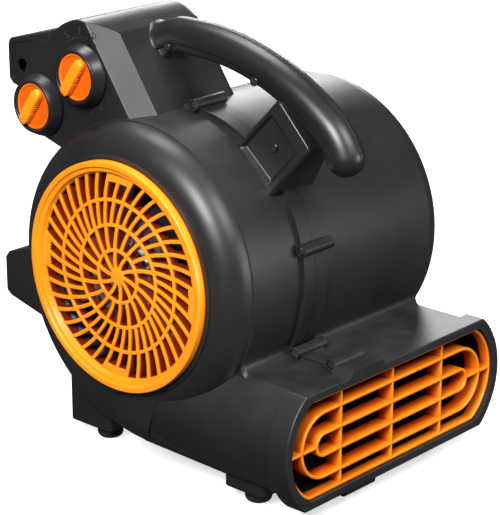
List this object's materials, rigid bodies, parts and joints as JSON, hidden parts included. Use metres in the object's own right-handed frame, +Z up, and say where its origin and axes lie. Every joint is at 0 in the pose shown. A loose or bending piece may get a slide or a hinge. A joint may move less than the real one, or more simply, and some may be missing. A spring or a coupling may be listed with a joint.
{
  "type": "centrifugal air mover",
  "caption": "Compact snail-shell blower with swirled inlet grilles, a wide oval outlet, an arched carry handle, control knobs, and feet for standing level or on its back.",
  "frame": {"origin": "centre of the bounding box, on the surface that the feet stand on", "axes": "+Z up, -Y the way the air leaves, +X along the fan axis towards the operator's right when facing the outlet from behind"},
  "size_m": [0.2796, 0.347, 0.3562],
  "materials": {
    "housing": "fine textured moulded plastic",
    "handle": "fine textured moulded plastic",
    "panel": "fine textured moulded plastic",
    "grille": "glossy amber-orange moulded plastic",
    "knob": "satin black plastic",
    "knob_insert": "glossy orange plastic",
    "screw": "blackened steel",
    "steel": "zinc-plated steel",
    "motor_shell": "die-cast aluminium",
    "lamination": "stacked electrical steel",
    "copper": "lacquered copper wire",
    "wheel": "black glass-filled plastic",
    "insulator": "ivory moulded plastic",
    "capacitor": "white plastic can",
    "terminal": "natural moulded plastic",
    "rubber": "black rubber"
  },
  "bodies": {
    "housing": {"left_housing": "housing", "right_housing": "housing", "housing_screws": "screw", "left_inlet_grille": "grille", "right_inlet_grille": "grille", "outlet_grille": "grille", "handle_left_half": "handle", "handle_right_half": "handle", "handle_screws": "screw", "control_panel": "panel", "speed_switch": "insulator", "run_timer": "insulator", "control_nuts": "steel", "run_capacitor": "capacitor", "terminal_block": "terminal", "cord_inlet_bush": "knob", "motor_bracket": "steel", "bracket_screws": "screw", "motor_mount_screws": "screw", "motor_left_bell": "motor_shell", "motor_right_bell": "motor_shell", "stator_laminations": "lamination", "stator_windings": "copper", "left_bearing": "steel", "right_bearing": "steel", "motor_tie_bolts": "screw", "front_left_foot": "rubber", "front_right_foot": "rubber", "rear_left_foot": "rubber", "rear_right_foot": "rubber", "foot_screws": "screw", "upper_left_rear_pad": "rubber", "upper_right_rear_pad": "rubber", "lower_left_rear_pad": "rubber", "lower_right_rear_pad": "rubber"},
    "impeller": {"impeller": "wheel", "motor_shaft": "steel", "motor_rotor": "lamination", "hub_grub_screw": "screw"},
    "speed_knob": {"speed_spindle": "steel", "speed_knob_skirt": "knob", "speed_knob_insert": "knob_insert"},
    "timer_knob": {"timer_spindle": "steel", "timer_knob_skirt": "knob", "timer_knob_insert": "knob_insert"}
  },
  "joints": [
    {"name": "impeller_spin", "type": "hinge", "parent": "housing", "child": "impeller", "pos_m": [0, -0.0007, 0.17], "axis": [-1, 0, 0], "continuous": true},
    {"name": "speed_knob_turn", "type": "hinge", "parent": "housing", "child": "speed_knob", "pos_m": [-0.104, 0.0623, 0.3135], "axis": [1, 0, 0], "range_deg": [0, 135]},
    {"name": "timer_knob_turn", "type": "hinge", "parent": "housing", "child": "timer_knob", "pos_m": [-0.104, 0.1118, 0.282], "axis": [1, 0, 0], "range_deg": [0, 300]}
  ]
}
